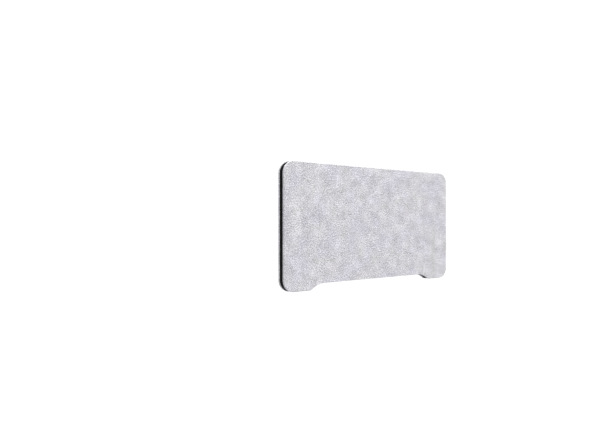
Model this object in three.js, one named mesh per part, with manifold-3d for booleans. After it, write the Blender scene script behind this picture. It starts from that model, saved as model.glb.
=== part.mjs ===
// A desk privacy panel: a core board with a black band round its edge, and an upholstered pad on each
// face. Each pad is a fabric cover stretched over felt and a thin backing board. Studs on the backing
// board snap into sockets in the core, so a pad comes off with a pull. Threaded inserts in the underside
// of the panel's two feet take the bolts of desk brackets, and cables pass through the arch between them.
//
// Millimetres. X runs along the panel, -Y is the front and +Z is up. The origin is on the ground, in
// the middle of the panel's length and thickness.

import * as THREE from "three";
import { mergeVertices } from "three/addons/utils/BufferGeometryUtils.js";
import Module from "manifold-3d";

// Outline of the whole panel, which is also the outer edge of both pads.
const WIDTH = 1200;
const HEIGHT = 600;
const CORNER_RADIUS = 57;
const FOOT_LENGTH = 154; // from the panel's side to where its foot starts to rise into the arch
const FOOT_RADIUS = 25; // rounds the end of a foot
const ARCH_RISE = 29;
const ARCH_RADIUS = 155; // hollow curve from a foot up to the arch's straight top

// Core: a board with a plastic band round its edge.
const CORE_THICKNESS = 22;
const BAND_THICKNESS = 2;
const BAND_RECESS = 0.5; // the band lies this far inside the pads' rims
const BAND_SEAM = 0.4; // butt joint where the band's two ends meet, under the arch

// Pad: a cover that folds round a layer of felt and a backing board.
const FABRIC_THICKNESS = 1;
const BACKING_THICKNESS = 4;
const FELT_THICKNESS = 5;
const FACE_RIM_RADIUS = 3.5; // rounds the cover's edge at its face
const BACK_RIM_RADIUS = 1.2; // rounds the cover's edge at the core
const RETURN_WIDTH = 20; // how far the cover is turned over behind the backing board
const LAYER_GAP = 0.25; // glue line or slack between layers that lie on each other

// Clips, in two rows: a stud on the pad and a socket in the core.
const CLIP_COLUMNS = 3;
const CLIP_SIDE_MARGIN = 90; // from the panel's side to the outermost clip of either pad
const CLIP_BOTTOM_MARGIN = 70; // from the arch's top to the lower row
const CLIP_TOP_MARGIN = 100; // from the panel's top to the upper row
const CLIP_STAGGER = 30; // moves each pad's clips to its own right, so the two pads' sockets miss
const CLIP_CLEARANCE = 0.2;
const STUD_NECK_RADIUS = 3.2;
const STUD_HEAD_RADIUS = 4.5;
const STUD_HEAD_LENGTH = 4.4;
const STUD_NOSE_RADIUS = 2.6;
const STUD_SLOT = 1.4; // splits the head and neck, so that the lip can squeeze them
const STUD_FLANGE_RADIUS = 10;
const STUD_FLANGE_THICKNESS = 1.5;
const STUD_SPIGOT_RADIUS = 5;
const SOCKET_LIP = 1.4; // length of the narrow mouth that holds the stud's head in
const SOCKET_CHAMFER = 0.7;
const SOCKET_WALL = 2.5;
const SOCKET_FLOOR = 1;
const SOCKET_FLANGE_WIDTH = 3.8;
const SOCKET_FLANGE_THICKNESS = 1.2;

// Threaded inserts for the desk brackets, two in the underside of each foot.
const INSERT_SPACING = 50;
const INSERT_LENGTH = 20;
const INSERT_RADIUS = 4.6;
const INSERT_RIBS = 3;
const INSERT_RIB_HEIGHT = 0.5; // the ribs grip the board
const INSERT_BORE_RADIUS = 2.5; // the core of an M6 thread
const INSERT_CLEARANCE = 0.2;

const CORNER_SEGMENTS = 8;
const FOOT_SEGMENTS = 4;
const ARCH_SEGMENTS = 5;
const RIM_SEGMENTS = 3;
const ROUND_SEGMENTS = 12;

// Distances forwards from the panel's mid-plane, out through the front pad.
const coreFace = CORE_THICKNESS / 2;
const flapInner = coreFace + LAYER_GAP;
const backingInner = flapInner + FABRIC_THICKNESS + LAYER_GAP;
const backingOuter = backingInner + BACKING_THICKNESS;
const feltInner = backingOuter + LAYER_GAP;
const feltOuter = feltInner + FELT_THICKNESS;
const padOuter = feltOuter + LAYER_GAP + FABRIC_THICKNESS;

// How far each layer's edge lies inside the panel's outline.
const boardInset = BAND_RECESS + BAND_THICKNESS + LAYER_GAP;
const stuffingInset = FABRIC_THICKNESS + LAYER_GAP;

const CUT = 1; // how far a cutting shape runs past what it cuts

const wasm = await Module();
wasm.setup();

const finishes = {
  fabric: { color: 0xcfced6, roughness: 0.95, metalness: 0 },
  felt: { color: 0x8f9194, roughness: 1, metalness: 0 },
  hardboard: { color: 0x6b4a2e, roughness: 0.8, metalness: 0 },
  chipboard: { color: 0xb3925f, roughness: 0.85, metalness: 0 },
  blackPlastic: { color: 0x0d0d0e, roughness: 0.6, metalness: 0 },
  nylon: { color: 0xd8d6cf, roughness: 0.45, metalness: 0 },
  zincPlated: { color: 0xb9bcc0, roughness: 0.35, metalness: 1 },
};

function part(name, geometry, finish) {
  const mesh = new THREE.Mesh(geometry, new THREE.MeshStandardMaterial(finishes[finish]));
  mesh.name = name;
  return mesh;
}

// A closed geometry as a solid that can be cut or joined.
function solid(geometry) {
  const bare = geometry.clone();
  bare.deleteAttribute("normal");
  bare.deleteAttribute("uv");
  const merged = mergeVertices(bare);
  const vertProperties = merged.attributes.position.array;
  const triVerts = new Uint32Array(merged.index.array);
  return new wasm.Manifold(new wasm.Mesh({ numProp: 3, vertProperties, triVerts }));
}

function geometryOf(made) {
  const mesh = made.getMesh();
  const geometry = new THREE.BufferGeometry();
  geometry.setAttribute("position", new THREE.BufferAttribute(mesh.vertProperties, 3));
  geometry.setIndex(new THREE.BufferAttribute(mesh.triVerts, 1));
  geometry.computeVertexNormals();
  return geometry;
}

function arc(x, z, radius, from, to, segments) {
  const points = [];
  for (let i = 0; i <= segments; i++) {
    const angle = from + ((to - from) * i) / segments;
    points.push(new THREE.Vector2(x + radius * Math.cos(angle), z + radius * Math.sin(angle)));
  }
  return points;
}

// The panel's outline in X and Z, moved inwards by inset. Each end of the arch is two arcs that touch:
// one rounds the foot, and the other has its centre under the arch and runs level into the arch's top.
function outline(inset) {
  const side = WIDTH / 2 - CORNER_RADIUS;
  const top = HEIGHT - CORNER_RADIUS;
  const corner = CORNER_RADIUS - inset;
  const foot = FOOT_RADIUS - inset;
  const arch = ARCH_RADIUS + inset;
  const radii = FOOT_RADIUS + ARCH_RADIUS;
  const turn = Math.acos(1 - ARCH_RISE / radii);
  const footEnd = WIDTH / 2 - FOOT_LENGTH;
  const archEnd = footEnd - radii * Math.sin(turn);
  const archCentre = ARCH_RISE - ARCH_RADIUS;
  const up = Math.PI / 2;
  return [
    ...arc(-side, CORNER_RADIUS, corner, -2 * up, -up, CORNER_SEGMENTS),
    ...arc(-footEnd, FOOT_RADIUS, foot, -up, turn - up, FOOT_SEGMENTS),
    ...arc(-archEnd, archCentre, arch, up + turn, up, ARCH_SEGMENTS).slice(1),
    ...arc(archEnd, archCentre, arch, up, up - turn, ARCH_SEGMENTS),
    ...arc(footEnd, FOOT_RADIUS, foot, -up - turn, -up, FOOT_SEGMENTS).slice(1),
    ...arc(side, CORNER_RADIUS, corner, -up, 0, CORNER_SEGMENTS),
    ...arc(side, top, corner, 0, up, CORNER_SEGMENTS),
    ...arc(-side, top, corner, up, 2 * up, CORNER_SEGMENTS),
  ];
}

// The rings that round a slab's edge, from its face to its rim. Each is an [inset, distance] pair, and
// inwards is the way from the face into the slab.
function roundedEdge(inset, face, radius, inwards) {
  if (radius === 0) return [[inset, face]];
  const rings = [];
  for (let i = 0; i <= RIM_SEGMENTS; i++) {
    const angle = ((i / RIM_SEGMENTS) * Math.PI) / 2;
    const across = radius * (1 - Math.sin(angle));
    const down = radius * (1 - Math.cos(angle));
    rings.push([inset + across, face + inwards * down]);
  }
  return rings;
}

// A slab of the panel's outline, between two distances forwards from the panel's mid-plane.
function slab(inset, back, front, backRim = 0, frontRim = 0) {
  const rings = [
    ...roundedEdge(inset, back, backRim, 1),
    ...roundedEdge(inset, front, frontRim, -1).reverse(),
  ];
  const positions = [];
  for (const [ringInset, distance] of rings) {
    for (const { x, y } of outline(ringInset)) positions.push(x, -distance, y);
  }

  const face = outline(inset);
  const count = face.length;
  const last = (rings.length - 1) * count;
  const indices = [];
  for (let ring = 0; ring < last; ring += count) {
    for (let i = 0; i < count; i++) {
      const here = ring + i;
      const next = ring + ((i + 1) % count);
      indices.push(here, next, next + count, here, next + count, here + count);
    }
  }
  for (const [a, b, c] of THREE.ShapeUtils.triangulateShape(face, [])) {
    indices.push(c, b, a, last + a, last + b, last + c);
  }

  const geometry = new THREE.BufferGeometry();
  geometry.setAttribute("position", new THREE.Float32BufferAttribute(positions, 3));
  geometry.setIndex(indices);
  geometry.computeVertexNormals();
  return geometry;
}

// A round body whose axis is Y, from [radius, distance] pairs that run round its section with the
// material on their left. A distance counts forwards from the panel's mid-plane.
function turned(profile) {
  const points = profile.map(([radius, distance]) => new THREE.Vector2(radius, -distance));
  return new THREE.LatheGeometry(points.reverse(), ROUND_SEGMENTS);
}

function at(geometry, x, z) {
  return geometry.clone().translate(x, 0, z);
}

// Where the front pad's clips are. The back pad is the front pad turned round the Z axis.
function clipPlaces() {
  const reach = WIDTH / 2 - CLIP_SIDE_MARGIN - CLIP_STAGGER;
  const places = [];
  for (const z of [ARCH_RISE + CLIP_BOTTOM_MARGIN, HEIGHT - CLIP_TOP_MARGIN]) {
    for (let column = 0; column < CLIP_COLUMNS; column++) {
      const x = -reach + (2 * reach * column) / (CLIP_COLUMNS - 1) + CLIP_STAGGER;
      places.push({ x, z });
    }
  }
  return places;
}

// The X of each threaded insert: a pair about the middle of each foot's flat underside.
function insertPlaces() {
  const footMiddle = WIDTH / 2 - (CORNER_RADIUS + FOOT_LENGTH) / 2;
  const half = INSERT_SPACING / 2;
  return [-footMiddle - half, -footMiddle + half, footMiddle - half, footMiddle + half];
}

// ---- Clips ----

// Heights inside a clip, measured forwards like every other distance.
const lipInner = coreFace - SOCKET_LIP;
const headShoulder = lipInner - CLIP_CLEARANCE;
const headTip = headShoulder - STUD_HEAD_LENGTH;
const socketFloor = headTip - CLIP_CLEARANCE;
const socketEnd = socketFloor - SOCKET_FLOOR;
const socketInside = STUD_HEAD_RADIUS + CLIP_CLEARANCE;
const socketBody = socketInside + SOCKET_WALL;
const socketFlange = socketBody + SOCKET_FLANGE_WIDTH;

function socketGeometry() {
  const mouth = STUD_NECK_RADIUS + CLIP_CLEARANCE;
  const step = coreFace - SOCKET_FLANGE_THICKNESS;
  return turned([
    [0, socketEnd],
    [socketBody, socketEnd],
    [socketBody, step],
    [socketFlange, step],
    [socketFlange, coreFace],
    [mouth + SOCKET_CHAMFER, coreFace],
    [mouth, coreFace - SOCKET_CHAMFER],
    [mouth, lipInner],
    [socketInside, lipInner],
    [socketInside, socketFloor],
    [0, socketFloor],
  ]);
}

// The stepped hole that a socket sits in.
function socketHole() {
  const step = coreFace - SOCKET_FLANGE_THICKNESS - CLIP_CLEARANCE;
  return turned([
    [0, socketEnd - CLIP_CLEARANCE],
    [socketBody + CLIP_CLEARANCE, socketEnd - CLIP_CLEARANCE],
    [socketBody + CLIP_CLEARANCE, step],
    [socketFlange + CLIP_CLEARANCE, step],
    [socketFlange + CLIP_CLEARANCE, coreFace + CUT],
    [0, coreFace + CUT],
  ]);
}

// A stud's spigot is glued into the backing board, its flange lies in a recess of that board, and its
// split head sits behind the socket's lip.
function studGeometry() {
  const flare = STUD_HEAD_RADIUS - STUD_NECK_RADIUS;
  const spigotEnd = backingOuter - CLIP_CLEARANCE;
  const whole = turned([
    [0, headTip],
    [STUD_NOSE_RADIUS, headTip],
    [STUD_HEAD_RADIUS, headTip + STUD_HEAD_RADIUS - STUD_NOSE_RADIUS],
    [STUD_HEAD_RADIUS, headShoulder - flare],
    [STUD_NECK_RADIUS, headShoulder],
    [STUD_NECK_RADIUS, backingInner],
    [STUD_FLANGE_RADIUS, backingInner],
    [STUD_FLANGE_RADIUS, backingInner + STUD_FLANGE_THICKNESS],
    [STUD_SPIGOT_RADIUS, backingInner + STUD_FLANGE_THICKNESS],
    [STUD_SPIGOT_RADIUS, spigotEnd],
    [0, spigotEnd],
  ]);
  const slotDepth = coreFace - headTip + CUT;
  const slot = new THREE.BoxGeometry(STUD_SLOT, slotDepth, 2 * STUD_HEAD_RADIUS + CUT);
  return geometryOf(solid(whole).subtract(solid(slot.translate(0, slotDepth / 2 - coreFace, 0))));
}

function studHole() {
  const step = backingInner + STUD_FLANGE_THICKNESS + CLIP_CLEARANCE;
  return turned([
    [0, backingInner - CUT],
    [STUD_FLANGE_RADIUS + CLIP_CLEARANCE, backingInner - CUT],
    [STUD_FLANGE_RADIUS + CLIP_CLEARANCE, step],
    [STUD_SPIGOT_RADIUS + CLIP_CLEARANCE, step],
    [STUD_SPIGOT_RADIUS + CLIP_CLEARANCE, backingOuter + CUT],
    [0, backingOuter + CUT],
  ]);
}

// ---- Core ----

// A hole up into a foot, wide enough for an insert's ribs.
function insertHole(x) {
  const length = BAND_RECESS + INSERT_LENGTH + 2 * INSERT_CLEARANCE;
  const radius = INSERT_RADIUS + INSERT_RIB_HEIGHT + INSERT_CLEARANCE;
  const hole = new THREE.CylinderGeometry(radius, radius, length, ROUND_SEGMENTS);
  return hole.rotateX(Math.PI / 2).translate(x, 0, length / 2);
}

function coreBoard() {
  let board = solid(slab(boardInset, -coreFace, coreFace));
  const hole = socketHole();
  for (const { x, z } of clipPlaces()) {
    board = board.subtract(solid(at(hole, x, z)));
    board = board.subtract(solid(at(hole, x, z).rotateZ(Math.PI)));
  }
  for (const x of insertPlaces()) board = board.subtract(solid(insertHole(x)));
  return geometryOf(board);
}

function edgeBand() {
  const inside = BAND_RECESS + BAND_THICKNESS;
  const seam = new THREE.BoxGeometry(BAND_SEAM, CORE_THICKNESS + CUT, BAND_THICKNESS + 2 * CUT);
  seam.translate(0, 0, ARCH_RISE + BAND_RECESS + BAND_THICKNESS / 2);
  let band = solid(slab(BAND_RECESS, -coreFace, coreFace));
  band = band.subtract(solid(slab(inside, -coreFace - CUT, coreFace + CUT)));
  band = band.subtract(solid(seam));
  for (const x of insertPlaces()) band = band.subtract(solid(insertHole(x)));
  return geometryOf(band);
}

// A tube with ribs round it, which stands with its mouth just above the band's underside.
function insertGeometry() {
  const bottom = BAND_RECESS + INSERT_CLEARANCE;
  const top = bottom + INSERT_LENGTH;
  const crest = INSERT_RADIUS + INSERT_RIB_HEIGHT;
  const pitch = INSERT_LENGTH / INSERT_RIBS;
  const profile = [[INSERT_BORE_RADIUS, bottom]];
  for (let rib = 0; rib < INSERT_RIBS; rib++) {
    const start = bottom + rib * pitch;
    profile.push([crest, start], [crest, start + pitch / 4]);
    profile.push([INSERT_RADIUS, start + pitch / 2], [INSERT_RADIUS, start + pitch - INSERT_RIB_HEIGHT]);
  }
  profile.push([INSERT_RADIUS, top], [INSERT_BORE_RADIUS, top], [INSERT_BORE_RADIUS, bottom]);
  const points = profile.map(([radius, height]) => new THREE.Vector2(radius, height));
  return new THREE.LatheGeometry(points, ROUND_SEGMENTS).rotateX(Math.PI / 2);
}

function core() {
  const group = new THREE.Group();
  group.add(part("core_board", coreBoard(), "chipboard"));
  group.add(part("edge_band", edgeBand(), "blackPlastic"));
  const socket = socketGeometry();
  clipPlaces().forEach(({ x, z }, i) => {
    group.add(part(`front_socket_${i + 1}`, at(socket, x, z), "blackPlastic"));
    group.add(part(`back_socket_${i + 1}`, at(socket, x, z).rotateZ(Math.PI), "blackPlastic"));
  });
  const insert = insertGeometry();
  insertPlaces().forEach((x, i) => {
    group.add(part(`foot_insert_${i + 1}`, at(insert, x, 0), "zincPlated"));
  });
  return group;
}

// ---- Pads, each made as the front one ----

function coverGeometry() {
  const wall = FABRIC_THICKNESS;
  const outer = slab(0, flapInner, padOuter, BACK_RIM_RADIUS, FACE_RIM_RADIUS);
  const hollow = slab(wall, flapInner + wall, padOuter - wall, 0, FACE_RIM_RADIUS - wall);
  const opening = slab(RETURN_WIDTH, flapInner - CUT, backingInner);
  return geometryOf(solid(outer).subtract(solid(hollow)).subtract(solid(opening)));
}

function backingBoard() {
  let board = solid(slab(stuffingInset, backingInner, backingOuter));
  const hole = studHole();
  for (const { x, z } of clipPlaces()) board = board.subtract(solid(at(hole, x, z)));
  return geometryOf(board);
}

function pad(side) {
  const felt = slab(stuffingInset, feltInner, feltOuter, 0, FACE_RIM_RADIUS - stuffingInset);
  const stud = studGeometry();
  const group = new THREE.Group();
  group.add(part(`${side}_cover`, coverGeometry(), "fabric"));
  group.add(part(`${side}_felt`, felt, "felt"));
  group.add(part(`${side}_backing_board`, backingBoard(), "hardboard"));
  clipPlaces().forEach(({ x, z }, i) => {
    group.add(part(`${side}_stud_${i + 1}`, at(stud, x, z), "nylon"));
  });
  return group;
}

const panel = new THREE.Group();
const backPad = pad("back");
backPad.rotation.z = Math.PI;
panel.add(core(), pad("front"), backPad);

export default panel;
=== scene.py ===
"""The looks of a desk privacy panel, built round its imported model.

Two cloth-covered pads lie on a core board with a black band round its edge. The cloth of a pad is swelled
by simulation over its felt, and the felt is taken from the inside of that cloth. Studs, sockets, threaded
inserts and the band are remade finely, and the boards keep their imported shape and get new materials.

Metres. X runs along the panel, -Y is the front and +Z is up.
"""

import math

import bmesh
import bpy
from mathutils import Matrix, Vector, kdtree


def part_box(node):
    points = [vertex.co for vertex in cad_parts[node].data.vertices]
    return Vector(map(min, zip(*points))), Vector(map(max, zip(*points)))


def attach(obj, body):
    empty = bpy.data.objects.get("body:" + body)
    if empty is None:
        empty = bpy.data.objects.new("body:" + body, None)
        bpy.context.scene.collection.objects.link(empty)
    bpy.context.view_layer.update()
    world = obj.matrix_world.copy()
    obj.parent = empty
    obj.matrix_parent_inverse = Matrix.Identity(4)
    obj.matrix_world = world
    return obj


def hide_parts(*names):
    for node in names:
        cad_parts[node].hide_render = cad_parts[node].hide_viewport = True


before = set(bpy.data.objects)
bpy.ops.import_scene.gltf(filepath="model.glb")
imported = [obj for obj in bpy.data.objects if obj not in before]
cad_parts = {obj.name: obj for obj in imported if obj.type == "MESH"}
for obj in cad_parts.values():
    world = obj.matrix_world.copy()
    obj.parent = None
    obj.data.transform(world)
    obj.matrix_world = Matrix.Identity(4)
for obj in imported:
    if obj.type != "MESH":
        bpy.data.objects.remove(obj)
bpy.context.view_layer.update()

MM = 0.001
TOUCHING = 0.01 * MM  # points nearer than this count as one

# The panel's outline, whose overall size comes from the frame.
COVER_LOW, COVER_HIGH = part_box("front_cover")
CORE_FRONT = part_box("core_board")[0].y
BAND_LOW, BAND_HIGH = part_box("edge_band")
BACKING_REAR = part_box("front_backing_board")[1].y
FELT_LOW, FELT_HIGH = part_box("front_felt")
HALF_WIDTH = COVER_HIGH.x
HEIGHT = COVER_HIGH.z
CORNER_RADIUS = 57 * MM
FOOT_LENGTH = 154 * MM
FOOT_RADIUS = 25 * MM
ARCH_RISE = 29 * MM
ARCH_RADIUS = 155 * MM

# The cloth and what it folds round.
YARN = 1.3 * MM
CLOTH = 1 * MM
FACE_RIM = 3.5 * MM
BACK_RIM = 1.2 * MM
RETURN_WIDTH = 20 * MM
SWELL = 1.3 * MM  # the most that the pad's face may rise
HELD_EDGE = 4 * MM  # the cloth can't rise within this distance of its rim
FREE_FROM = 34 * MM  # and is quite free past this one
UNEVEN = 0.35 * MM  # how much the felt's face wavers
CLOTH_STEPS = 20  # of the simulation

BAND_THICKNESS = 2 * MM
BAND_SEAM = 0.4 * MM
BAND_SOFTNESS = 0.4 * MM

# Clips and threaded inserts, whose places and outer sizes come from the frame.
SOCKET_BODY = 7.2 * MM
SOCKET_INSIDE = 4.7 * MM
SOCKET_MOUTH = 3.4 * MM
SOCKET_LIP = 1.4 * MM
SOCKET_FLANGE = 1.2 * MM
SOCKET_FLOOR = 1 * MM
STUD_HEAD = 4.5 * MM
STUD_NECK = 3.2 * MM
STUD_NOSE = 2.6 * MM
STUD_HEAD_LENGTH = 4.4 * MM
STUD_FLANGE = 1.5 * MM
STUD_SPIGOT = 5 * MM
STUD_SLOT = 1.4 * MM
CLIP_SOFTNESS = 0.15 * MM
INSERT_HOLE = 5.3 * MM
INSERT_ROOT = 4.6 * MM
THREAD_ROOT = 3 * MM
THREAD_CREST = 2.5 * MM
THREAD_PITCH = 1 * MM

CLIP_NUMBERS = range(1, 7)  # on each side of the core
INSERT_NUMBERS = range(1, 5)

# How many straight pieces each stretch of the outline has. The bottom's add up to TOP_STEPS.
CORNER_STEPS = 16
FOOT_STEPS = 8
FOOT_END_STEPS = 4
ARCH_END_STEPS = 8
ARCH_STEPS = 58
TOP_STEPS = 2 * (FOOT_STEPS + FOOT_END_STEPS + ARCH_END_STEPS) + ARCH_STEPS
SIDE_STEPS = 42

QUARTER = math.pi / 2


# ---- Working on a piece by hand ----


def choose(piece):
    bpy.ops.object.select_all(action="DESELECT")
    piece.select_set(True)
    bpy.context.view_layer.objects.active = piece


def edit(piece):
    choose(piece)
    bpy.ops.object.mode_set(mode="EDIT")
    bpy.ops.mesh.select_mode(type="VERT")
    bpy.ops.mesh.select_all(action="DESELECT")


def done():
    bpy.ops.object.mode_set(mode="OBJECT")


def pick(piece, kind, test):
    """Selects the piece's verts, edges or faces whose middle passes test(middle, element)."""
    bpy.ops.mesh.select_mode(type={"verts": "VERT", "edges": "EDGE", "faces": "FACE"}[kind])
    bpy.ops.mesh.select_all(action="DESELECT")
    mesh = bmesh.from_edit_mesh(piece.data)
    for element in getattr(mesh, kind):
        points = [element.co] if kind == "verts" else [v.co for v in element.verts]
        if test(sum(points, Vector()) / len(points), element):
            element.select_set(True)
    bmesh.update_edit_mesh(piece.data)


def face_outwards():
    bpy.ops.mesh.select_all(action="SELECT")
    bpy.ops.mesh.normals_make_consistent(inside=False)


def apply(piece, modifier):
    choose(piece)
    bpy.ops.object.modifier_apply(modifier=modifier.name)


def smooth(piece, degrees=35):
    choose(piece)
    bpy.ops.object.shade_smooth_by_angle(angle=math.radians(degrees))


def copy(piece, name):
    choose(piece)
    bpy.ops.object.duplicate()
    twin = bpy.context.object
    twin.name = name
    twin.data.name = name
    return twin


def a_point(name, place):
    """A piece that is a single point, where a line is then drawn from."""
    bpy.ops.object.select_all(action="DESELECT")
    bpy.ops.mesh.primitive_plane_add(size=CLOTH)
    piece = bpy.context.object
    piece.name = name
    piece.data.name = name
    bpy.ops.object.mode_set(mode="EDIT")
    bpy.ops.mesh.select_mode(type="VERT")
    bpy.ops.mesh.select_all(action="SELECT")
    bpy.ops.mesh.merge(type="CENTER")
    bpy.ops.transform.translate(value=place)
    return piece


def draw_line(move, steps=1):
    for _ in range(steps):
        bpy.ops.mesh.extrude_vertices_move(TRANSFORM_OT_translate={"value": move / steps})


def draw_arc(centre, turn, steps):
    """Carries the line round centre, to the left as the front sees it where turn is positive."""
    bpy.ops.mesh.spin(steps=steps, angle=turn, center=centre, axis=(0, 1, 0))


def close_line():
    bpy.ops.mesh.select_all(action="SELECT")
    bpy.ops.mesh.remove_doubles(threshold=TOUCHING)
    bpy.ops.mesh.select_all(action="SELECT")
    bpy.ops.mesh.edge_face_add()


def draw_outline(name, inset, y, detail=True):
    """One flat face at y, of the panel's outline inset all round. It is left in edit mode.

    Each end of the arch is two arcs that touch: one rounds the foot, and the other has its centre under
    the arch and runs level into the arch's top. Without detail, each straight stretch is one edge.
    """
    side = HALF_WIDTH - CORNER_RADIUS
    top = HEIGHT - CORNER_RADIUS
    radii = FOOT_RADIUS + ARCH_RADIUS
    turn = math.acos(1 - ARCH_RISE / radii)
    foot_end = HALF_WIDTH - FOOT_LENGTH
    arch_end = foot_end - radii * math.sin(turn)
    arch_centre = ARCH_RISE - ARCH_RADIUS

    def straight(x, z, steps):
        draw_line(Vector((x, 0, z)), steps if detail else 1)

    def bend(x, z, angle, steps):
        draw_arc((x, y, z), angle, steps)

    piece = a_point(name, (inset - HALF_WIDTH, y, CORNER_RADIUS))
    bend(-side, CORNER_RADIUS, QUARTER, CORNER_STEPS)
    straight(side - foot_end, 0, FOOT_STEPS)
    bend(-foot_end, FOOT_RADIUS, turn, FOOT_END_STEPS)
    bend(-arch_end, arch_centre, -turn, ARCH_END_STEPS)
    straight(2 * arch_end, 0, ARCH_STEPS)
    bend(arch_end, arch_centre, -turn, ARCH_END_STEPS)
    bend(foot_end, FOOT_RADIUS, turn, FOOT_END_STEPS)
    straight(side - foot_end, 0, FOOT_STEPS)
    bend(side, CORNER_RADIUS, QUARTER, CORNER_STEPS)
    straight(0, top - CORNER_RADIUS, SIDE_STEPS)
    bend(side, top, QUARTER, CORNER_STEPS)
    straight(-2 * side, 0, TOP_STEPS)
    bend(-side, top, QUARTER, CORNER_STEPS)
    straight(0, CORNER_RADIUS - top, SIDE_STEPS)
    close_line()
    return piece


# ---- Pads ----


def cover_surface():
    """The outside of the front pad's cloth: its face, its rounded rim and the flap turned over behind."""
    front, back = COVER_LOW.y, COVER_HIGH.y
    cover = draw_outline("front_cloth", 0, back)
    bpy.ops.mesh.extrude_region_move(TRANSFORM_OT_translate={"value": (0, front - back, 0)})
    face_outwards()
    for y, radius, segments in ((front, FACE_RIM, 5), (back, BACK_RIM, 3)):
        pick(cover, "edges", lambda middle, edge: all(abs(v.co.y - y) < TOUCHING for v in edge.verts))
        bpy.ops.mesh.bevel(offset=radius, segments=segments, profile=0.5, affect="EDGES")

    pick(cover, "faces", lambda middle, face: middle.y > back - TOUCHING)
    bpy.ops.mesh.inset(thickness=RETURN_WIDTH - BACK_RIM)
    pick(cover, "faces", lambda middle, face: face.calc_area() > HALF_WIDTH * HEIGHT and middle.y > back - MM)
    bpy.ops.mesh.delete(type="ONLY_FACE")
    return cover


def grid_face(cover):
    """Fills the pad's face with an even grid, from the middles of its corners."""
    front = COVER_LOW.y
    pick(cover, "faces", lambda middle, face: middle.y < front + TOUCHING)
    bpy.ops.mesh.delete(type="ONLY_FACE")
    pick(cover, "edges", lambda middle, edge: edge.is_boundary and middle.y < front + TOUCHING)
    mesh = bmesh.from_edit_mesh(cover.data)
    corner = Vector((-HALF_WIDTH, front, 0))
    rim = [v for v in mesh.verts if v.select]
    first = min(rim, key=lambda v: (v.co - corner).length)
    mesh.select_history.clear()
    mesh.select_history.add(first)
    bmesh.update_edit_mesh(cover.data)
    bpy.ops.mesh.fill_grid(span=TOP_STEPS + CORNER_STEPS, offset=0)


def distance_from_rim(cover):
    """For each vertex of the pad's face, its distance from the rim's inner edge; for the rest, nothing."""
    front = COVER_LOW.y
    mesh = cover.data
    flat = {v.index for v in mesh.vertices if v.co.y < front + TOUCHING}
    edge_points = {
        i
        for face in mesh.polygons
        if not flat.issuperset(face.vertices)
        for i in face.vertices
        if i in flat
    }
    tree = kdtree.KDTree(len(edge_points))
    for i in edge_points:
        tree.insert(mesh.vertices[i].co, i)
    tree.balance()
    return {i: tree.find(mesh.vertices[i].co)[2] for i in flat}


def swell(cover):
    """Lets the cloth of the pad's face rise over its stuffing, held by its rim."""
    depth = distance_from_rim(cover)
    held = cover.vertex_groups.new(name="held")
    loose = cover.vertex_groups.new(name="loose")
    for vertex in cover.data.vertices:
        share = (depth.get(vertex.index, 0) - HELD_EDGE) / (FREE_FROM - HELD_EDGE)
        share = min(max(share, 0), 1)
        ease = share * share * (3 - 2 * share)
        held.add([vertex.index], 1 - ease, "REPLACE")
        loose.add([vertex.index], ease, "REPLACE")

    clouds = bpy.data.textures.new("felt_unevenness", "CLOUDS")
    clouds.noise_scale = 0.11
    clouds.noise_depth = 1
    uneven = cover.modifiers.new("uneven", "DISPLACE")
    uneven.texture = clouds
    uneven.texture_coords = "GLOBAL"
    uneven.vertex_group = "loose"
    uneven.strength = UNEVEN
    apply(cover, uneven)

    flat = [vertex.co.copy() for vertex in cover.data.vertices]
    simulate_cloth(cover)
    for vertex, start in zip(cover.data.vertices, flat):
        rise = vertex.co - start
        if rise.length > 0:
            vertex.co = start + rise * (SWELL * math.tanh(rise.length / SWELL) / rise.length)
    cover.vertex_groups.clear()


def simulate_cloth(cover):
    cloth = cover.modifiers.new("cloth", "CLOTH")
    cloth.settings.vertex_group_mass = "held"
    cloth.settings.pin_stiffness = 1
    cloth.settings.quality = 6
    cloth.settings.mass = 0.3
    cloth.settings.tension_stiffness = 25
    cloth.settings.compression_stiffness = 15
    cloth.settings.bending_stiffness = 2
    cloth.settings.use_pressure = True
    cloth.settings.uniform_pressure_force = 4
    cloth.settings.effector_weights.gravity = 0
    cloth.collision_settings.use_collision = False
    cloth.point_cache.frame_start = 1
    cloth.point_cache.frame_end = CLOTH_STEPS
    for step in range(1, CLOTH_STEPS + 1):
        bpy.context.scene.frame_set(step)
    apply(cover, cloth)
    bpy.context.scene.frame_set(1)


def finish_cover(cover):
    """Gives the cloth a finer mesh and its thickness, which goes inwards."""
    finer = cover.modifiers.new("finer", "SUBSURF")
    finer.levels = finer.render_levels = 1
    apply(cover, finer)
    thick = cover.modifiers.new("thick", "SOLIDIFY")
    thick.thickness = CLOTH
    thick.offset = -1
    thick.use_even_offset = True
    apply(cover, thick)
    smooth(cover, 60)


def map_cloth(cover):
    """A map in metres: upright over the face, then straight on round the rim, as stretched cloth runs."""
    front = COVER_LOW.y
    mesh = bmesh.new()
    mesh.from_mesh(cover.data)
    spread = {v: v.co.xz for v in mesh.verts if v.co.y < front + TOUCHING}
    outward = {}
    ring = list(spread)
    while ring:
        beyond = []
        for inner in ring:
            for edge in inner.link_edges:
                outer = edge.other_vert(inner)
                if outer not in spread and outer not in outward:
                    step = outer.co - inner.co
                    outward[outer] = outward.get(inner, step.xz.normalized())
                    beyond.append((outer, spread[inner] + outward[outer] * step.length))
        spread.update(beyond)
        ring = [outer for outer, place in beyond]
    weave = mesh.loops.layers.uv.verify()
    for face in mesh.faces:
        for corner in face.loops:
            corner[weave].uv = spread[corner.vert]
    mesh.to_mesh(cover.data)
    mesh.free()


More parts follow.
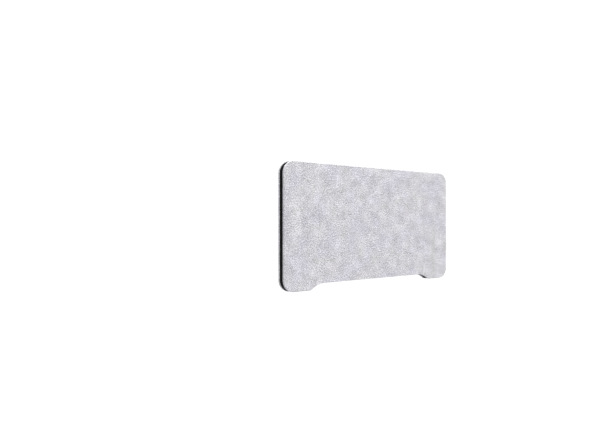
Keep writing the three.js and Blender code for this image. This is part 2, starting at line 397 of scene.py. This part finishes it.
def make_felt(cover):
    """The felt under a cover: the shape of the cover's inside, cut off flat where the backing board lies."""
    felt = copy(cover, "front_felt_layer")
    edit(felt)
    bpy.ops.mesh.select_all(action="SELECT")
    bpy.ops.transform.shrink_fatten(value=COVER_LOW.y - FELT_LOW.y, use_even_offset=True)
    bpy.ops.mesh.bisect(
        plane_co=(0, FELT_HIGH.y, 0), plane_no=(0, 1, 0), use_fill=True, clear_outer=True
    )
    face_outwards()
    done()
    smooth(felt, 60)
    return felt


def half_turn():
    """Turns what is selected from the front to the back, about the panel's middle."""
    bpy.ops.transform.rotate(value=2 * QUARTER, orient_axis="Z", center_override=(0, 0, 0))


# ---- Core ----


def hole_cutter(x):
    bpy.ops.object.select_all(action="DESELECT")
    bpy.ops.mesh.primitive_cylinder_add(
        vertices=40, radius=INSERT_HOLE, depth=4 * BAND_THICKNESS, location=(x, 0, 0)
    )
    cutter = bpy.context.object
    bpy.ops.object.transform_apply(location=True, rotation=True, scale=True)
    return cutter


def cut(piece, cutter):
    boolean = piece.modifiers.new("cut", "BOOLEAN")
    boolean.operation = "DIFFERENCE"
    boolean.solver = "EXACT"
    boolean.object = cutter
    apply(piece, boolean)
    bpy.data.objects.remove(cutter)


def make_band():
    """A strip round the core's edge, butted under the middle of the arch and pierced for the inserts."""
    recess = BAND_LOW.z
    band = draw_outline("black_edge_band", recess, BAND_HIGH.y, detail=False)
    bpy.ops.mesh.extrude_region_move(TRANSFORM_OT_translate={"value": (0, BAND_LOW.y - BAND_HIGH.y, 0)})
    face_outwards()
    pick(band, "faces", lambda middle, face: len(face.verts) > 4)
    bpy.ops.mesh.delete(type="ONLY_FACE")
    for side in (-1, 1):
        bpy.ops.mesh.select_all(action="SELECT")
        bpy.ops.mesh.bisect(plane_co=(side * BAND_SEAM / 2, 0, 0), plane_no=(1, 0, 0))
    pick(band, "faces", lambda middle, face: abs(middle.x) < BAND_SEAM / 2 and middle.z < HEIGHT / 2)
    bpy.ops.mesh.delete(type="FACE")
    done()
    thick = band.modifiers.new("thick", "SOLIDIFY")
    thick.thickness = BAND_THICKNESS
    thick.offset = -1
    thick.use_even_offset = True
    apply(band, thick)
    for number in INSERT_NUMBERS:
        low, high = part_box(f"foot_insert_{number}")
        cut(band, hole_cutter((low.x + high.x) / 2))
    soft = band.modifiers.new("soft edges", "BEVEL")
    soft.width = BAND_SOFTNESS
    soft.segments = 2
    soft.limit_method = "ANGLE"
    soft.angle_limit = math.radians(50)
    apply(band, soft)
    smooth(band, 30)
    return band


# ---- Clips and inserts, each modelled once and copied ----


def turned(name, profile, axis, steps=32):
    """A round piece from [radius, height] pairs, with height along axis, which is Y or Z."""
    lift = Vector((0, -1, 0)) if axis == "Y" else Vector((0, 0, 1))
    places = [Vector((radius, 0, 0)) + lift * height for radius, height in profile]
    piece = a_point(name, places[0])
    for here, there in zip(places, places[1:]):
        draw_line(there - here)
    bpy.ops.mesh.select_all(action="SELECT")
    bpy.ops.mesh.spin(steps=steps, angle=4 * QUARTER, center=(0, 0, 0), axis=lift)
    bpy.ops.mesh.select_all(action="SELECT")
    bpy.ops.mesh.remove_doubles(threshold=TOUCHING)
    face_outwards()
    done()
    return piece


def soften(piece, width):
    soft = piece.modifiers.new("soft edges", "BEVEL")
    soft.width = width
    soft.segments = 2
    soft.limit_method = "ANGLE"
    soft.angle_limit = math.radians(40)
    apply(piece, soft)
    smooth(piece, 40)


def make_socket():
    """A socket of the front pad's side, with its axis through the origin."""
    low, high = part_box("front_socket_1")
    face, end = -low.y, -high.y
    flange = (high.x - low.x) / 2
    chamfer = 0.7 * MM
    socket = turned(
        "socket",
        [
            (0, end),
            (SOCKET_BODY, end),
            (SOCKET_BODY, face - SOCKET_FLANGE),
            (flange, face - SOCKET_FLANGE),
            (flange, face),
            (SOCKET_MOUTH + chamfer, face),
            (SOCKET_MOUTH, face - chamfer),
            (SOCKET_MOUTH, face - SOCKET_LIP),
            (SOCKET_INSIDE, face - SOCKET_LIP),
            (SOCKET_INSIDE, end + SOCKET_FLOOR),
            (0, end + SOCKET_FLOOR),
        ],
        "Y",
    )
    soften(socket, CLIP_SOFTNESS)
    return socket


def make_stud():
    """A stud of the front pad, with its axis through the origin."""
    low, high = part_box("front_stud_1")
    tip, spigot_end = -high.y, -low.y
    face = -BACKING_REAR
    flange = (high.z - low.z) / 2
    shoulder = tip + STUD_HEAD_LENGTH
    stud = turned(
        "stud",
        [
            (0, tip),
            (STUD_NOSE, tip),
            (STUD_HEAD, tip + STUD_HEAD - STUD_NOSE),
            (STUD_HEAD, shoulder - STUD_HEAD + STUD_NECK),
            (STUD_NECK, shoulder),
            (STUD_NECK, face),
            (flange, face),
            (flange, face + STUD_FLANGE),
            (STUD_SPIGOT, face + STUD_FLANGE),
            (STUD_SPIGOT, spigot_end),
            (0, spigot_end),
        ],
        "Y",
    )
    depth = 2 * (-CORE_FRONT - tip)
    bpy.ops.object.select_all(action="DESELECT")
    bpy.ops.mesh.primitive_cube_add(size=1, location=(0, CORE_FRONT + depth / 2, 0))
    slot = bpy.context.object
    slot.scale = (STUD_SLOT, depth, 3 * STUD_HEAD)
    bpy.ops.object.transform_apply(location=True, rotation=True, scale=True)
    cut(stud, slot)
    soften(stud, CLIP_SOFTNESS)
    return stud


def make_insert():
    """A ribbed tube with a threaded bore, which stands on the origin with its mouth down."""
    low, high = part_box("foot_insert_1")
    bottom, top = low.z, high.z
    crest = (high.x - low.x) / 2
    rib_pitch = 2 * MM
    profile = [(THREAD_ROOT, bottom), (crest, bottom), (crest, bottom + rib_pitch)]
    height = bottom + rib_pitch
    while height < top - rib_pitch:
        profile += [(INSERT_ROOT, height + 0.4 * rib_pitch), (INSERT_ROOT, height + 0.7 * rib_pitch)]
        profile += [(crest, height + 0.75 * rib_pitch), (crest, height + rib_pitch)]
        height += rib_pitch
    profile += [(INSERT_ROOT, height + 0.4 * rib_pitch), (INSERT_ROOT, top), (THREAD_ROOT, top)]
    while height > bottom + THREAD_PITCH:
        profile += [(THREAD_CREST, height), (THREAD_ROOT, height - THREAD_PITCH / 2)]
        height -= THREAD_PITCH
    profile.append((THREAD_ROOT, bottom))
    insert = turned("insert", profile, "Z")
    smooth(insert, 30)
    return insert


def place_copies(model, nodes, slot_name, finish):
    """Puts a copy of the model at each of these CAD nodes and lets it stand for the node."""
    for node in nodes:
        low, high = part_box(node)
        piece = copy(model, f"{node}_fine")
        edit(piece)
        bpy.ops.mesh.select_all(action="SELECT")
        if node.startswith("back"):
            half_turn()
        middle = (low + high) / 2
        height = middle.z if slot_name != "zinc_steel" else 0
        bpy.ops.transform.translate(value=(middle.x, 0, height))
        done()
        dress(piece, finish)
        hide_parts(node)
    bpy.data.objects.remove(model)


def dress(piece, finish):
    """Gives a piece its material, and lets it move with the panel."""
    piece.data.materials.clear()
    piece.data.materials.append(finish)
    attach(piece, "root")
    return piece


# ---- Materials ----


class Finish:
    """A material under construction, with short calls for its nodes."""

    def __init__(self, name, roughness, metallic=0.0, specular=0.5):
        self.material = bpy.data.materials.new(name)
        self.material.use_nodes = True
        self.tree = self.material.node_tree
        self.shader = self.tree.nodes["Principled BSDF"]
        self.shader.inputs["Roughness"].default_value = roughness
        self.shader.inputs["Metallic"].default_value = metallic
        self.shader.inputs["Specular IOR Level"].default_value = specular
        self.where = self.add("ShaderNodeTexCoord")

    def add(self, kind, inputs=None, **settings):
        """A node with its settings; inputs maps a socket's name or number to a value or to an output."""
        node = self.tree.nodes.new(kind)
        for key, value in settings.items():
            setattr(node, key, value)
        for key, value in (inputs or {}).items():
            if isinstance(value, bpy.types.NodeSocket):
                self.tree.links.new(value, node.inputs[key])
            else:
                node.inputs[key].default_value = value
        return node

    def stretched(self, source, scale):
        return self.add("ShaderNodeMapping", {"Vector": source, "Scale": scale}).outputs["Vector"]

    def noise(self, vector, scale, detail=2.0, roughness=0.5):
        inputs = {"Vector": vector, "Scale": scale, "Detail": detail, "Roughness": roughness}
        return self.add("ShaderNodeTexNoise", inputs).outputs["Fac"]

    def maths(self, operation, first, second=0.0):
        return self.add("ShaderNodeMath", {0: first, 1: second}, operation=operation).outputs["Value"]

    def ramp(self, value, stops):
        node = self.add("ShaderNodeValToRGB", {"Fac": value})
        elements = node.color_ramp.elements
        while len(elements) < len(stops):
            elements.new(0.5)
        for element, (place, colour) in zip(elements, stops):
            element.position = place
            element.color = (*colour, 1)
        return node.outputs["Color"]

    def mix(self, share, first, second, blend_type="MIX"):
        node = self.add("ShaderNodeMix", data_type="RGBA", blend_type=blend_type)
        for key, value in ((0, share), (6, first), (7, second)):
            if isinstance(value, bpy.types.NodeSocket):
                self.tree.links.new(value, node.inputs[key])
            else:
                node.inputs[key].default_value = value if key == 0 else (*value, 1)
        return node.outputs[2]

    def colour(self, output):
        self.tree.links.new(output, self.shader.inputs["Base Color"])

    def bump(self, height, distance, strength=1.0, under=None):
        inputs = {"Height": height, "Distance": distance, "Strength": strength}
        if under:
            inputs["Normal"] = under
        output = self.add("ShaderNodeBump", inputs).outputs["Normal"]
        self.tree.links.new(output, self.shader.inputs["Normal"])
        return output


def woven_cloth():
    """Light grey melange cloth: a plain weave whose yarns change tone along their length, with painted shade
    in the hollows between the yarns.
    """
    finish = Finish("woven_cloth", roughness=0.92, specular=0.2)
    finish.shader.inputs["Sheen Weight"].default_value = 0.1
    finish.shader.inputs["Sheen Roughness"].default_value = 0.5
    uv = finish.where.outputs["UV"]
    place = finish.where.outputs["Object"]
    parts = finish.add("ShaderNodeSeparateXYZ", {"Vector": uv}).outputs
    wander = finish.maths("MULTIPLY", finish.noise(uv, 160, 2), 0.8 * MM)
    across = finish.maths("ADD", parts["X"], wander)
    along = finish.maths("ADD", parts["Y"], wander)

    # A plain weave: each yarn rises and falls, and of two that cross the higher one is seen.
    around = math.pi / YARN
    wave_across = finish.maths("SINE", finish.maths("MULTIPLY", across, around))
    wave_along = finish.maths("SINE", finish.maths("MULTIPLY", along, around))
    swing = finish.maths("MULTIPLY", wave_across, wave_along)
    warp_height = finish.maths("ADD", finish.maths("ABSOLUTE", wave_across), swing)
    weft_height = finish.maths("SUBTRACT", finish.maths("ABSOLUTE", wave_along), swing)
    height = finish.maths("MAXIMUM", warp_height, weft_height)
    warp_on_top = finish.maths("GREATER_THAN", warp_height, weft_height)
    weft_on_top = finish.maths("SUBTRACT", 1.0, warp_on_top)

    def on_top(warp, weft):
        warp_share = finish.maths("MULTIPLY", warp, warp_on_top)
        return finish.maths("ADD", warp_share, finish.maths("MULTIPLY", weft, weft_on_top))

    def drawn_out(side, run, seed, grain, stretch):
        """Noise that is long along one yarn's run and short from side to side."""
        inputs = {
            "X": finish.maths("MULTIPLY", side, grain),
            "Y": finish.maths("MULTIPLY", run, grain / stretch),
            "Z": seed,
        }
        return finish.noise(finish.add("ShaderNodeCombineXYZ", inputs).outputs["Vector"], 1, 4, 0.6)

    def yarn_tone(side, run, seed):
        """One tone from side to side of a yarn, which changes along it."""
        return drawn_out(finish.maths("SNAP", side, YARN), run, seed, 900.0, 11.0)

    def fibre_tone(side, run, seed):
        """Fine fibres that lie aslant, as the yarn is twisted."""
        slant = finish.maths("ADD", side, finish.maths("MULTIPLY", run, 0.45))
        return drawn_out(slant, run, seed, 5600.0, 9.0)

    yarns = on_top(yarn_tone(across, along, 0.0), yarn_tone(along, across, 40.0))
    fibres = on_top(fibre_tone(across, along, 9.0), fibre_tone(along, across, 60.0))
    flecks = finish.noise(uv, 225, 2, 0.6)
    clouds = finish.noise(uv, 16, 4, 0.65)
    tone = finish.maths("MULTIPLY", yarns, 0.36)
    tone = finish.maths("ADD", tone, finish.maths("MULTIPLY", fibres, 0.12))
    tone = finish.maths("ADD", tone, finish.maths("MULTIPLY", flecks, 0.54))
    tone = finish.maths("ADD", tone, finish.maths("MULTIPLY", clouds, 0.14))
    greys = [
        (0.48, (0.190, 0.188, 0.206)),
        (0.56, (0.465, 0.461, 0.490)),
        (0.60, (0.640, 0.634, 0.668)),
        (0.68, (0.930, 0.924, 0.960)),
    ]
    melange = finish.ramp(tone, greys)
    tints = [(0.42, (1.0, 0.995, 0.985)), (0.60, (0.975, 0.965, 1.0))]
    patches = finish.ramp(finish.noise(place, 11, 1, 0.4), tints)
    tinted = finish.mix(1.0, melange, patches, "MULTIPLY")
    # Painted shade: the colour is darkened, down to 0.62 of itself, where the yarns dip into the hollows
    # between them.
    painted_gap_shade = finish.ramp(height, [(0.1, (0.62, 0.62, 0.63)), (0.9, (1.0, 1.0, 1.0))])
    finish.colour(finish.mix(1.0, tinted, painted_gap_shade, "MULTIPLY"))
    fuzz = finish.bump(fibres, 0.12 * MM, 0.6)
    finish.bump(height, 0.2 * MM, 0.6, under=fuzz)
    return finish.material


def needled_felt():
    """Grey felt of matted fibres, some lighter and some darker."""
    finish = Finish("needled_felt", roughness=1.0, specular=0.1)
    place = finish.where.outputs["Object"]
    fibres = finish.noise(finish.stretched(place, (260, 260, 900)), 1, 4, 0.7)
    finish.colour(finish.ramp(fibres, [(0.3, (0.13, 0.13, 0.14)), (0.7, (0.40, 0.40, 0.41))]))
    finish.bump(fibres, 0.5 * MM, 0.8)
    return finish.material


def black_band_plastic():
    """Matte black edge banding with a faint pebbled grain."""
    finish = Finish("black_band_plastic", roughness=0.6, specular=0.08)
    place = finish.where.outputs["Object"]
    pebbles = finish.add("ShaderNodeTexVoronoi", {"Vector": place, "Scale": 1400.0}).outputs["Distance"]
    wear = finish.noise(place, 60, 3, 0.6)
    finish.colour(finish.ramp(wear, [(0.35, (0.0022, 0.0022, 0.0024)), (0.7, (0.0040, 0.0040, 0.0044))]))
    rough = finish.ramp(wear, [(0.3, (0.56, 0.56, 0.56)), (0.7, (0.7, 0.7, 0.7))])
    finish.tree.links.new(rough, finish.shader.inputs["Roughness"])
    finish.bump(pebbles, 0.05 * MM, 0.5)
    return finish.material


def chipboard():
    """Pressed wood chips of several tones, with fine dust between them."""
    finish = Finish("chipboard", roughness=0.85, specular=0.2)
    place = finish.where.outputs["Object"]
    stretched = finish.stretched(place, (1, 2.2, 1.4))
    chips = finish.add("ShaderNodeTexVoronoi", {"Vector": stretched, "Scale": 260.0})
    tone = finish.add("ShaderNodeSeparateColor", {"Color": chips.outputs["Color"]}).outputs["Red"]
    tones = [(0.0, (0.22, 0.12, 0.045)), (0.35, (0.44, 0.28, 0.12)), (0.8, (0.58, 0.41, 0.2))]
    dust = finish.noise(place, 700, 2)
    finish.colour(finish.mix(0.35, finish.ramp(tone, tones), finish.ramp(dust, tones)))
    finish.bump(chips.outputs["Distance"], 0.2 * MM, 0.4)
    return finish.material


def hardboard():
    """Dense brown board of fine fibres, with the print of a wire screen."""
    finish = Finish("hardboard", roughness=0.6, specular=0.35)
    place = finish.where.outputs["Object"]
    fibres = finish.noise(finish.stretched(place, (150, 400, 700)), 1, 4, 0.65)
    finish.colour(finish.ramp(fibres, [(0.3, (0.085, 0.038, 0.016)), (0.7, (0.2, 0.1, 0.045))]))
    parts = finish.add("ShaderNodeSeparateXYZ", {"Vector": place}).outputs
    screen_pitch = 1.8 * MM
    around = 2 * math.pi / screen_pitch
    across = finish.maths("SINE", finish.maths("MULTIPLY", parts["X"], around))
    up = finish.maths("SINE", finish.maths("MULTIPLY", parts["Z"], around))
    finish.bump(finish.maths("MULTIPLY", across, up), 0.15 * MM, 0.5)
    return finish.material


def moulded_nylon(name, dark, light):
    """Moulded nylon, faintly cloudy, with a fine satin skin."""
    finish = Finish(name, roughness=0.42)
    place = finish.where.outputs["Object"]
    finish.colour(finish.ramp(finish.noise(place, 300, 2), [(0.3, dark), (0.7, light)]))
    finish.bump(finish.noise(place, 4000, 2), 0.02 * MM, 0.5)
    return finish.material


def zinc_plate():
    """Zinc-plated steel with a mottled sheen."""
    finish = Finish("zinc_plate", roughness=0.35, metallic=1.0)
    place = finish.where.outputs["Object"]
    mottle = finish.noise(place, 900, 3)
    finish.colour(finish.ramp(mottle, [(0.3, (0.42, 0.43, 0.46)), (0.7, (0.6, 0.61, 0.63))]))
    rough = finish.ramp(mottle, [(0.3, (0.28, 0.28, 0.28)), (0.7, (0.45, 0.45, 0.45))])
    finish.tree.links.new(rough, finish.shader.inputs["Roughness"])
    return finish.material


# ---- The panel put together ----


def build_pads():
    cloth = woven_cloth()
    felt_finish = needled_felt()
    front = cover_surface()
    grid_face(front)
    face_outwards()
    done()
    map_cloth(front)
    swell(front)
    felt = make_felt(front)
    finish_cover(front)
    pads = {"front": (front, felt), "back": (copy(front, "back_cloth"), copy(felt, "back_felt_layer"))}
    for piece in pads["back"]:
        edit(piece)
        bpy.ops.mesh.select_all(action="SELECT")
        half_turn()
        done()
    for side, (cover, stuffing) in pads.items():
        dress(cover, cloth)
        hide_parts(f"{side}_cover")
        dress(stuffing, felt_finish)
        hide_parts(f"{side}_felt")


def build_core():
    band = dress(make_band(), black_band_plastic())
    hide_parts("edge_band")
    sides = ("front", "back")
    black = moulded_nylon("socket_nylon", (0.007, 0.007, 0.008), (0.012, 0.012, 0.013))
    natural = moulded_nylon("stud_nylon", (0.6, 0.585, 0.53), (0.72, 0.7, 0.65))
    sockets = [f"{side}_socket_{n}" for side in sides for n in CLIP_NUMBERS]
    studs = [f"{side}_stud_{n}" for side in sides for n in CLIP_NUMBERS]
    inserts = [f"foot_insert_{n}" for n in INSERT_NUMBERS]
    place_copies(make_socket(), sockets, "black_nylon", black)
    place_copies(make_stud(), studs, "natural_nylon", natural)
    place_copies(make_insert(), inserts, "zinc_steel", zinc_plate())


def dress_boards():
    finishes = {"core_board": chipboard()}
    finishes["front_backing_board"] = finishes["back_backing_board"] = hardboard()
    for node, finish in finishes.items():
        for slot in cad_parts[node].material_slots:
            slot.material = finish


# ---- Floor, light and camera ----


def build_floor():
    """A pale floor that shines evenly, so it shows no shadow, and adds nothing to the panel's own light."""
    bpy.ops.object.select_all(action="DESELECT")
    bpy.ops.mesh.primitive_plane_add(size=60)
    floor = bpy.context.object
    floor.name = "floor"
    finish = Finish("pale_floor", roughness=0.9, specular=0.1)
    grain = finish.noise(finish.where.outputs["Object"], 3, 2)
    finish.colour(finish.ramp(grain, [(0.3, (0.03, 0.03, 0.03)), (0.7, (0.034, 0.034, 0.034))]))
    finish.shader.inputs["Emission Color"].default_value = (1, 1, 1, 1)
    finish.shader.inputs["Emission Strength"].default_value = 1.0
    floor.data.materials.append(finish.material)
    floor.visible_diffuse = False
    floor.visible_glossy = False


def area_light(name, place, aim, size, power):
    light = bpy.data.lights.new(name, "AREA")
    light.shape = "RECTANGLE"
    light.size, light.size_y = size
    light.energy = power
    lamp = bpy.data.objects.new(name, light)
    lamp.visible_camera = False
    lamp.location = place
    lamp.rotation_euler = (Vector(aim) - Vector(place)).to_track_quat("-Z", "Y").to_euler()
    bpy.context.scene.collection.objects.link(lamp)


def build_light():
    """A studio of white: the background is brighter to the camera than the light that it sheds."""
    world = bpy.data.worlds.new("studio")
    bpy.context.scene.world = world
    world.use_nodes = True
    tree = world.node_tree
    tree.nodes.clear()
    output = tree.nodes.new("ShaderNodeOutputWorld")
    seen = tree.nodes.new("ShaderNodeBackground")
    shed = tree.nodes.new("ShaderNodeBackground")
    choice = tree.nodes.new("ShaderNodeMixShader")
    path = tree.nodes.new("ShaderNodeLightPath")
    seen.inputs["Color"].default_value = (1, 1, 1, 1)
    seen.inputs["Strength"].default_value = 1.05
    shed.inputs["Color"].default_value = (1, 1, 1, 1)
    shed.inputs["Strength"].default_value = 0.55
    tree.links.new(path.outputs["Is Camera Ray"], choice.inputs[0])
    tree.links.new(shed.outputs[0], choice.inputs[1])
    tree.links.new(seen.outputs[0], choice.inputs[2])
    tree.links.new(choice.outputs[0], output.inputs[0])
    area_light("top_light", (-0.6, -0.2, 3.0), (0, 0, 0.3), (3.0, 2.0), 140)
    area_light("front_light", (0.8, -5.4, 0.7), (0, 0, 0.3), (3.0, 2.6), 119)
    area_light("back_light", (1.2, 3.4, 1.0), (0, 0, 0.3), (2.4, 2.0), 45)
    area_light("floor_bounce", (0.1, 0, 0.001), (0.1, 0, 1), (2.8, 3.2), 14)


def build_camera():
    """A level view from the front left, turned so that the panel's length runs away to the right."""
    turn = math.radians(39.64)
    away = 2.589
    aside = -0.0712
    forward = Vector((math.sin(turn), math.cos(turn), 0))
    right = Vector((math.cos(turn), -math.sin(turn), 0))
    near_corner = Vector((-HALF_WIDTH, COVER_LOW.y, 0))
    lens = bpy.data.cameras.new("camera")
    lens.sensor_width = 36
    lens.lens = 34.5
    eye_height = 0.534 * HEIGHT
    camera = bpy.data.objects.new("camera", lens)
    camera.location = near_corner - away * forward - aside * right
    camera.location.z = eye_height
    camera.rotation_euler = (QUARTER, 0, -turn)
    bpy.context.scene.collection.objects.link(camera)
    bpy.context.scene.camera = camera


build_pads()
build_core()
dress_boards()
build_floor()
build_light()
build_camera()
bpy.context.scene.view_settings.view_transform = "Standard"
